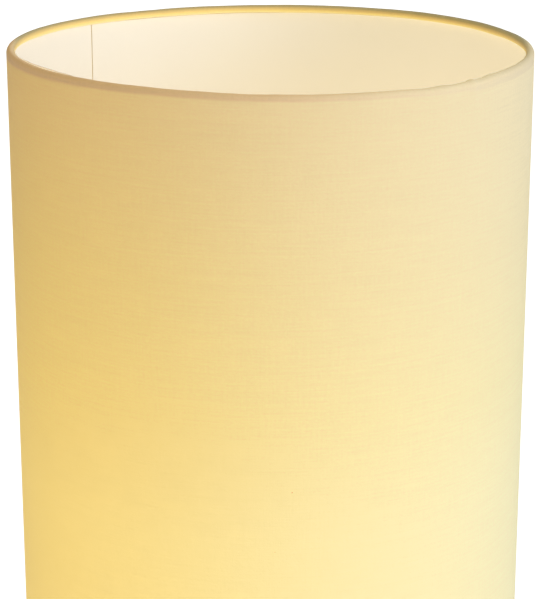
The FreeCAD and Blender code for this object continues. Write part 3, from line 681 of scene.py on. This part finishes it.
# Dark specks in the yarn: degrees from the front, millimetres below the rim, and radius
FLECKS = ((4.4, 179, 0.30), (0.9, 207.5, 0.22), (-67, 412, 0.3), (101, 96, 0.25),
          (-148, 655, 0.35), (158, 870, 0.3))


def along(table, at):
    """The value of a (place, value) table at this place, with soft turns at its rows."""
    for (a, low), (b, high) in zip(table, table[1:]):
        if a <= at <= b:
            share = (at - a) / (b - a)
            return low + (high - low) * share * share * (3 - 2 * share)
    return table[0][1] if at < table[0][0] else table[-1][1]


def warped(angle, z):
    """The height of a place that follows the upper hoop, which isn't quite flat. The cloth and
    lining follow it from 30 mm below the rim, and fully from 4 mm below."""
    near = min(1.0, max(0.0, (z - RIM_TOP + 30 * MM) / (26 * MM)))
    return z + along(RIM_RISE, front_degrees(angle)) * MM * near * near * (3 - 2 * near)


def swell(settings, angle):
    """How much the rolled hem is thicker here than its true form."""
    turn = Vector((math.cos(angle), math.sin(angle), 0))
    even = noise.noise(turn * 5.0) + 0.6 * noise.noise(turn * 19.0)
    at = front_degrees(angle)
    tucks = sum(share * math.exp(-((at - place) / width) ** 2) for place, width, share in TUCKS)
    return settings.hem_unevenness * even + settings.tuck_height * tucks


def cloth_shift(settings):
    """How the cloth departs from its true form: an uneven hem with tucks, and a soft wall."""
    def shift(angle, r, z):
        turn = Vector((math.cos(angle), math.sin(angle), 0))
        wall = noise.noise(turn * 1.6 + Vector((0, 0, 2.2 * z)))
        for z_hoop, more in ((UPPER_HOOP_Z, swell(settings, angle)),
                             (LOWER_HOOP_Z, 0.4 * swell(settings, -angle))):
            out, up = r - HOOP_RADIUS, z - z_hoop
            reach = math.hypot(out, up)
            if reach < 1.3 * HEM_RADIUS:
                r += more * out / reach
                z += more * up / reach
        return r + 0.12 * MM * wall, warped(angle, z)
    return shift


def cloth_angles():
    """Columns round the shade, closer together where the hem is tucked."""
    angles = []
    third = TURN / (3 * CLOTH_COLUMNS)
    for angle in evenly(SEAM_ANGLE, TURN, CLOTH_COLUMNS)[:-1]:
        angles.append(angle)
        if TUCKED_DEG[0] < front_degrees(angle) < TUCKED_DEG[1]:
            angles += [angle + third, angle + 2 * third]
    return angles + [SEAM_ANGLE + TURN]


def raw_edge():
    """The cut edge of the cloth, where it stands up behind the hem at the front left. It is drawn
    1 mm high, and each column is then stretched to its own height."""
    foot = Vector((HOOP_RADIUS - RAW_EDGE_INSIDE, RIM_TOP - RAW_EDGE_FOOT))
    outline = [tuple(foot + Vector((-RAW_EDGE_LEAN, MM)) * share)
               for share in evenly(0, 1, RAW_EDGE_ROWS)]

    def standing(angle, r, z):
        top = RIM_TOP + along(RAW_EDGE_TOP, front_degrees(angle)) * MM
        top += 0.12 * MM * noise.noise(Vector((30 * angle, 0, 0)))
        return r, warped(angle, foot.y) + (z - foot.y) / MM * (top - foot.y)

    start, sweep = (math.radians(degrees) for degrees in RAW_EDGE_DEG)
    edge = sheet_of("hem_raw_edge", outline, evenly(start, sweep, RAW_EDGE_COLUMNS), standing)
    thicken(edge, RAW_EDGE_THICKNESS)
    smooth(edge, 50)
    return finished(edge, "shade", raw_edge_material(), "shade_fabric")


class COLUMNLAMP_OT_shade_cloth(bpy.types.Operator):
    """Makes the sheet of cloth, rolled round both hoops, with its seam's lap and its raw edge"""
    bl_idname = "columnlamp.shade_cloth"
    bl_label = "Shade Cloth"

    def execute(self, context):
        settings = context.scene.columnlamp_shade
        thickness = settings.cloth_thickness
        middle = HEM_RADIUS - thickness / 2
        climb = UPPER_HOOP_Z - LOWER_HOOP_Z
        hem_run = math.radians(HEM_TURN_DEG) * middle
        lower = hem_arc(LOWER_HOOP_Z, -HEM_TURN_DEG, 0, middle)
        upper = hem_arc(UPPER_HOOP_Z, 0, HEM_TURN_DEG, middle)
        wall = [(HOOP_RADIUS + middle, z) for z in evenly(LOWER_HOOP_Z, climb, WALL_ROWS)[1:-1]]
        cloth = sheet_of("shade_cloth_sheet", lower + wall + upper, cloth_angles(),
                         cloth_shift(settings))
        thicken(cloth, thickness)
        smooth(cloth, 50)
        material = cloth_material(settings, climb, hem_run)
        finished(cloth, "shade", material, "shade_fabric", "shade_cloth")

        lap_radius = SHADE_RADIUS + thickness / 2 + GLUE_LINE
        lap_outline = [(lap_radius, z) for z in evenly(LOWER_HOOP_Z, climb, LAP_ROWS)]
        sweep = SEAM_LAP_WIDTH / SHADE_RADIUS

        def frayed(angle, r, z):
            return r + 0.06 * MM * noise.noise(Vector((0, 40 * angle, 90 * z))), warped(angle, z)

        lap = sheet_of("seam_lap_cloth", lap_outline,
                       evenly(SEAM_ANGLE - sweep / 2, sweep, LAP_COLUMNS), frayed)
        thicken(lap, thickness)
        smooth(lap, 50)
        finished(lap, "shade", material, "shade_fabric", "seam_lap")

        edge = raw_edge()
        return {"FINISHED"}


class COLUMNLAMP_OT_shade_lining(bpy.types.Operator):
    """Makes the plastic lining, with its open seam, and the hoops' wire"""
    bl_idname = "columnlamp.shade_lining"
    bl_label = "Lining and Hoops"

    def execute(self, context):
        settings = context.scene.columnlamp_shade
        middle = LINING_HIGH.x - settings.lining_thickness / 2
        gap = settings.seam_gap / middle
        low, high = LINING_LOW.z, LINING_HIGH.z
        outline = [(middle, z) for z in evenly(low, high - low, WALL_ROWS)]
        lining = sheet_of("shade_lining_sheet", outline,
                          evenly(SEAM_ANGLE + gap / 2, TURN - gap, LINING_COLUMNS),
                          lambda angle, r, z: (r, warped(angle, z)))
        thicken(lining, settings.lining_thickness)
        smooth(lining, 50)
        finished(lining, "shade", lining_material(settings), "shade_lining", "shade_lining")
        coated = grained("coated_wire", (0.78, 0.76, 0.71), 0.4)
        cad_finish(coated, "lower_hoop")
        bpy.ops.object.select_all(action="DESELECT")
        bpy.ops.mesh.primitive_torus_add(
            location=(0, 0, UPPER_HOOP_Z), major_segments=200, minor_segments=16,
            major_radius=HOOP_RADIUS, minor_radius=WIRE_RADIUS)
        hoop = bpy.context.object
        hoop.name = hoop.data.name = "upper_hoop_wire"
        bpy.ops.object.transform_apply()
        for corner in hoop.data.vertices:
            corner.co.z = warped(math.atan2(corner.co.y, corner.co.x), corner.co.z)
        smooth(hoop, 60)
        finished(hoop, "shade", coated, "hoop_wire", "upper_hoop")
        return {"FINISHED"}


# ---- The stand
class COLUMNLAMP_OT_base(bpy.types.Operator):
    """Finishes the base, its weight, plate, screws, feet and cord inlet"""
    bl_idname = "columnlamp.base"
    bl_label = "Base"

    def execute(self, context):
        settings = context.scene.columnlamp_stand
        coat = grained("powder_coat", settings.coat_color, 0.42, grain=1700.0, depth=0.04)
        cad_finish(coat, "base_cover", "stem_collar")
        cad_finish(grained("painted_casting", (0.035, 0.035, 0.038), 0.6, grain=600.0, depth=0.3),
                   "base_weight")
        zinc = turned_metal("zinc_plate", (0.60, 0.61, 0.62), 0.38)
        cad_finish(zinc, "base_plate", "plate_screws", "base_washer", "base_nut")
        cad_finish(grained("foot_rubber", (0.018, 0.018, 0.018), 0.85, grain=900.0, depth=0.08),
                   "rubber_feet")
        cad_finish(grained("inlet_nylon", (0.80, 0.78, 0.72), 0.45), "cord_inlet_bush")
        return {"FINISHED"}


class COLUMNLAMP_OT_stem(bpy.types.Operator):
    """Finishes the stem's tubes, nipples and inserts, and the wiring inside them"""
    bl_idname = "columnlamp.stem"
    bl_label = "Stem and Wiring"

    def execute(self, context):
        settings = context.scene.columnlamp_stand
        cad_finish(grained("tube_coat", settings.coat_color, 0.38, grain=1700.0, depth=0.03),
                   "lower_tube", "upper_tube")
        cad_finish(turned_metal("yellow_zinc", (0.72, 0.62, 0.38), 0.32),
                   "base_nipple", "stem_joiner", "holder_nipple", "stem_inserts")
        cad_finish(grained("block_nylon", (0.82, 0.80, 0.72), 0.5), "terminal_block")
        cad_finish(turned_metal("steel_screw", (0.62, 0.61, 0.58), 0.3), "terminal_screws")
        cad_finish(grained("brown_insulation", (0.09, 0.035, 0.015), 0.45), "live_wire")
        cad_finish(grained("blue_insulation", (0.015, 0.07, 0.32), 0.45), "neutral_wire")
        return {"FINISHED"}


def helical_wave(piece, low, high, pitch, depth):
    """Presses a rounded screw thread inwards into an upright wall, fading out at both ends."""
    for corner in piece.data.vertices:
        x, y, z = corner.co
        radius = math.hypot(x, y)
        turns = (z - low) / pitch - math.atan2(y, x) / TURN
        fade = min(1.0, max(0.0, min(z - low, high - z) / (0.5 * pitch)))
        inward = depth * fade * (0.5 - 0.5 * math.cos(TURN * turns))
        share = (radius - inward) / radius
        corner.co.x *= share
        corner.co.y *= share


class COLUMNLAMP_OT_lampholder(bpy.types.Operator):
    """Finishes the lampholder's cap, core, skirt, brass sleeve, terminals and contact"""
    bl_idname = "columnlamp.lampholder"
    bl_label = "Lampholder"

    def execute(self, context):
        moulding = grained("white_thermoset", (0.80, 0.79, 0.74), 0.28, grain=500.0, depth=0.02)
        cad_finish(moulding, "holder_cap", "holder_skirt")
        cad_finish(grained("core_ceramic", (0.80, 0.77, 0.68), 0.6, grain=1200.0, depth=0.06),
                   "holder_core")
        brass = turned_metal("contact_brass", (0.72, 0.53, 0.22), 0.3)
        cad_finish(brass, "holder_sleeve", "holder_terminals", "holder_contact", "terminal_barrels")
        return {"FINISHED"}


class COLUMNLAMP_OT_bulb(bpy.types.Operator):
    """Makes the bulb's threaded cap and finishes the rest of the bulb"""
    bl_idname = "columnlamp.bulb"
    bl_label = "Bulb"

    def execute(self, context):
        settings = context.scene.columnlamp_stand
        radius, low, high = CAP_HIGH.x, CAP_LOW.z, CAP_HIGH.z
        shoulder = low + CAP_TAPER
        mouth = radius - CAP_DRAW_IN
        inside = radius - CAP_WALL
        outline = [(mouth - CAP_WALL, low), (mouth, low)]
        outline += [(radius, z) for z in evenly(shoulder, high - shoulder, CAP_ROWS)]
        outline += [(inside, high), (inside - settings.thread_depth, shoulder), outline[0]]
        cap = lathe("bulb_screw_cap", outline, CAP_COLUMNS)
        helical_wave(cap, shoulder, high - CAP_PLAIN_TOP, settings.thread_pitch,
                     settings.thread_depth)
        smooth(cap, 50)
        nickel = turned_metal("nickel", (0.74, 0.73, 0.69), 0.22)
        finished(cap, "bulb", nickel, "bulb_nickel", "bulb_cap")
        cad_finish(nickel, "bulb_tip")
        cad_finish(grained("black_glass", (0.012, 0.012, 0.014), 0.12), "bulb_insulator")
        cad_finish(grained("bulb_moulding", (0.84, 0.83, 0.79), 0.3, grain=600.0), "bulb_housing")
        cad_finish(globe_material(), "bulb_globe")
        cad_finish(grained("circuit_board", (0.78, 0.78, 0.74), 0.4), "led_board", "led_driver")
        return {"FINISHED"}


# ---- The stage
def soft_lamp(name, color, power, size, place, target):
    """A round soft lamp that faces the target and that the camera doesn't see."""
    light = bpy.data.lights.new(name, "AREA")
    light.shape = "DISK"
    light.size = size
    light.energy = power
    light.color = color
    lamp = bpy.data.objects.new(name, light)
    lamp.location = place
    lamp.rotation_euler = (Vector(target) - Vector(place)).to_track_quat("-Z", "Y").to_euler()
    lamp.visible_camera = False
    bpy.context.scene.collection.objects.link(lamp)


def seen_directly(tree):
    """1 for rays from the camera, in a mirror or through glass, and 0 for those that light."""
    path = tree.nodes.new("ShaderNodeLightPath")
    w = Wiring(tree)
    seen = w.math("MAXIMUM", path.outputs["Is Camera Ray"], path.outputs["Is Glossy Ray"])
    return w.math("MAXIMUM", seen, path.outputs["Is Transmission Ray"])


class COLUMNLAMP_OT_stage(bpy.types.Operator):
    """Makes the white studio, its soft lamps and the photograph's camera"""
    bl_idname = "columnlamp.stage"
    bl_label = "Stage"

    def execute(self, context):
        scene = context.scene
        settings = scene.columnlamp_stage
        scene.view_settings.view_transform = "Standard"

        world = bpy.data.worlds.new("studio")
        scene.world = world
        world.use_nodes = True
        tree = world.node_tree
        w = Wiring(tree)
        color = w.blend(seen_directly(tree), settings.room_color, (1.0, 1.0, 1.0))
        w.feed(tree.nodes["Background"].inputs["Color"], color)

        bpy.ops.object.select_all(action="DESELECT")
        bpy.ops.mesh.primitive_circle_add(
            vertices=96, radius=12.0, fill_type="NGON", location=(0, 0, 0))
        floor = bpy.context.object
        floor.name = "studio_floor"
        material, shader, w = new_material("pale_floor", Base_Color=(0.86, 0.86, 0.86, 1),
                                           Roughness=0.9)
        x, y, _ = w.separate(object_place(w))
        # painted brightness for camera rays: white far off, and less round the base, where the
        # floor is greyer, a painted shade round the base
        painted_floor_brightening = w.between(from_axis(w, x, y), 0.3, 1.8, 0.42, 1.0)
        painted_floor_brightening = w.math("MULTIPLY", painted_floor_brightening, seen_directly(w.tree))
        w.feed(shader["Emission Color"], w.tinted((1.0, 1.0, 1.0), painted_floor_brightening))
        shader["Emission Strength"].default_value = 1.0
        floor.data.materials.append(material)

        rim = (0, 0, RIM_TOP - 0.1)
        soft_lamp("key_right", (0.75, 0.80, 0.95), settings.key_power, 1.2,
                  (1.55, -0.60, 1.65), rim)
        soft_lamp("fill_front", (0.95, 1.0, 1.0), settings.fill_power, 1.6,
                  (-0.1, -2.2, 1.3), rim)

        camera = bpy.data.cameras.new("photo_camera")
        camera.sensor_width = 36.0
        camera.lens = FOCAL_LENGTH_PX * camera.sensor_width / PHOTO_HEIGHT_PX
        camera.clip_start = 0.05
        viewer = bpy.data.objects.new("photo_camera", camera)
        viewer.location = (CAMERA_SIDE, -CAMERA_DISTANCE, RIM_TOP + CAMERA_ABOVE_RIM)
        viewer.rotation_euler = (math.radians(90 - CAMERA_TILT_DEG), 0, 0)
        scene.collection.objects.link(viewer)
        scene.camera = viewer
        return {"FINISHED"}


# ---- The add-on
class COLUMNLAMP_PT_panel(bpy.types.Panel):
    """Settings and pieces of the column floor lamp"""
    bl_label = "Column Floor Lamp"
    bl_idname = "COLUMNLAMP_PT_panel"
    bl_space_type = "VIEW_3D"
    bl_region_type = "UI"
    bl_category = "Lamp"

    def draw(self, context):
        layout = self.layout
        for label, group, steps in PANEL_SECTIONS:
            box = layout.box()
            box.label(text=label)
            settings = getattr(context.scene, group)
            for field in settings.__annotations__:
                box.prop(settings, field)
            for step in steps:
                box.operator(step.bl_idname)


PIECE_OPERATORS = (
    COLUMNLAMP_OT_shade_cloth,
    COLUMNLAMP_OT_shade_lining,
    COLUMNLAMP_OT_base,
    COLUMNLAMP_OT_stem,
    COLUMNLAMP_OT_lampholder,
    COLUMNLAMP_OT_bulb,
    COLUMNLAMP_OT_stage,
)
PANEL_SECTIONS = (
    ("Shade", "columnlamp_shade", PIECE_OPERATORS[:2]),
    ("Stand", "columnlamp_stand", PIECE_OPERATORS[2:6]),
    ("Stage", "columnlamp_stage", PIECE_OPERATORS[6:]),
)
CLASSES = (ShadeSettings, StandSettings, StageSettings, *PIECE_OPERATORS, COLUMNLAMP_PT_panel)


def register():
    for cls in CLASSES:
        bpy.utils.register_class(cls)
    bpy.types.Scene.columnlamp_shade = PointerProperty(type=ShadeSettings)
    bpy.types.Scene.columnlamp_stand = PointerProperty(type=StandSettings)
    bpy.types.Scene.columnlamp_stage = PointerProperty(type=StageSettings)


def unregister():
    del bpy.types.Scene.columnlamp_stage
    del bpy.types.Scene.columnlamp_stand
    del bpy.types.Scene.columnlamp_shade
    for cls in reversed(CLASSES):
        bpy.utils.unregister_class(cls)


def main():
    """Makes every piece."""
    register()
    for make_group in (weave_group, glow_group, grain_group, turning_group):
        make_group()
    bpy.ops.columnlamp.shade_cloth()
    bpy.ops.columnlamp.shade_lining()
    bpy.ops.columnlamp.base()
    bpy.ops.columnlamp.stem()
    bpy.ops.columnlamp.lampholder()
    bpy.ops.columnlamp.bulb()
    bpy.ops.columnlamp.stage()


if __name__ == "__main__":
    main()
